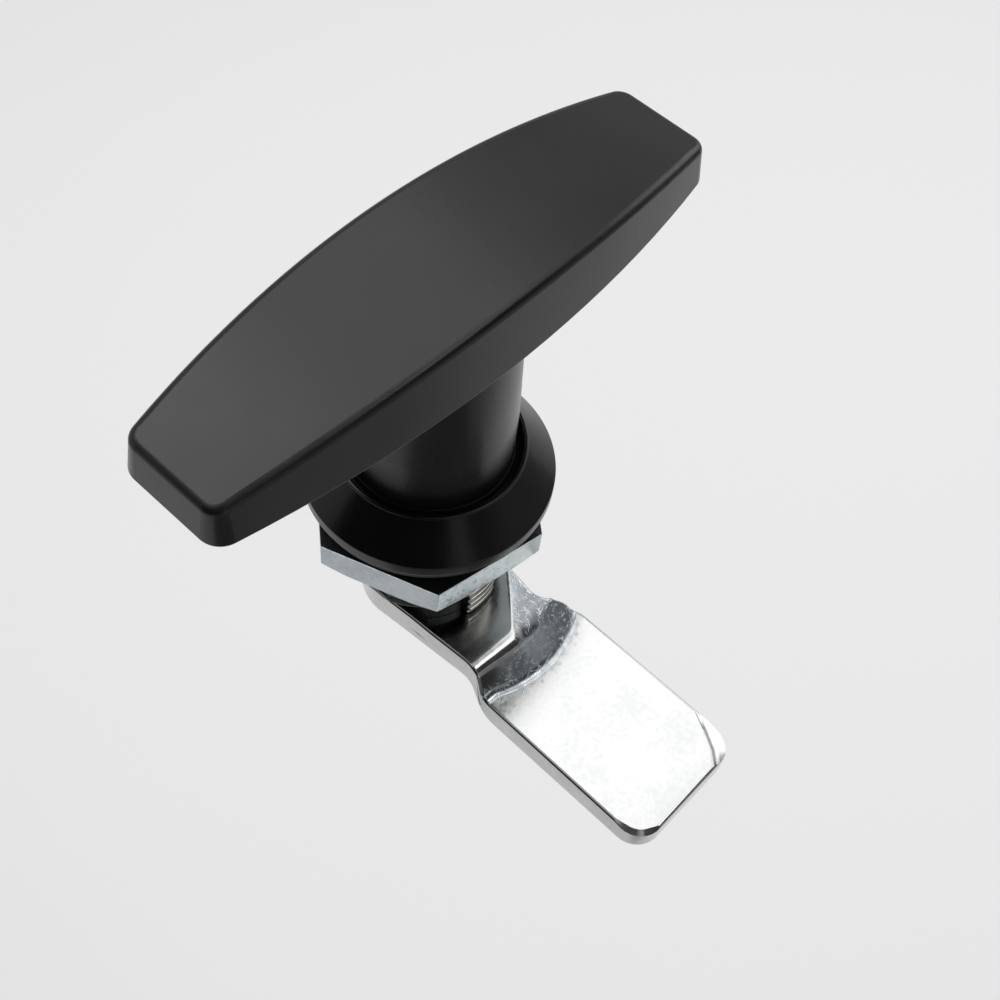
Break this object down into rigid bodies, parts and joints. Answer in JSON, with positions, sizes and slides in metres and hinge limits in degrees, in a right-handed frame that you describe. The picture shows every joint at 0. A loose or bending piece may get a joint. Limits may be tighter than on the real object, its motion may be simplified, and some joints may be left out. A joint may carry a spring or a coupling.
{
  "type": "quarter-turn cabinet latch with t-handle",
  "caption": "Quarter-turn cabinet latch: black boat-shaped T-handle on a round stem, conical flange, threaded barrel with panel nut, and a joggled plated cam.",
  "frame": {"origin": "on the spindle axis, in the plane where the gasket meets the outside of the panel", "axes": "+Z along the spindle, out of the cabinet, +X along the grip, cam pointing to -Y at rest"},
  "size_m": [0.082, 0.0687, 0.0771],
  "materials": {
    "powder_coat": "satin black powder coat",
    "black_housing": "semi-gloss black coat, bare on the thread",
    "turned_steel": "turned",
    "spring_steel": "blued",
    "rubber": "matte",
    "zinc_plate": "bright zinc plate"
  },
  "bodies": {
    "housing_group": {"housing": "black_housing", "gasket": "rubber", "panel_nut": "zinc_plate", "wiper_ring": "rubber", "disc_spring": "spring_steel"},
    "turning_group": {"handle": "powder_coat", "spindle": "turned_steel", "cross_pin": "spring_steel", "o_ring": "rubber", "retaining_ring": "spring_steel", "stop_plate": "spring_steel", "cam": "zinc_plate", "flat_washer": "zinc_plate", "lock_washer": "zinc_plate", "cam_screw": "zinc_plate"}
  },
  "joints": [
    {"name": "handle_turn", "type": "hinge", "parent": "housing_group", "child": "turning_group", "pos_m": [0, 0, 0], "axis": [0, 0, -1], "range_deg": [0, 90]}
  ]
}
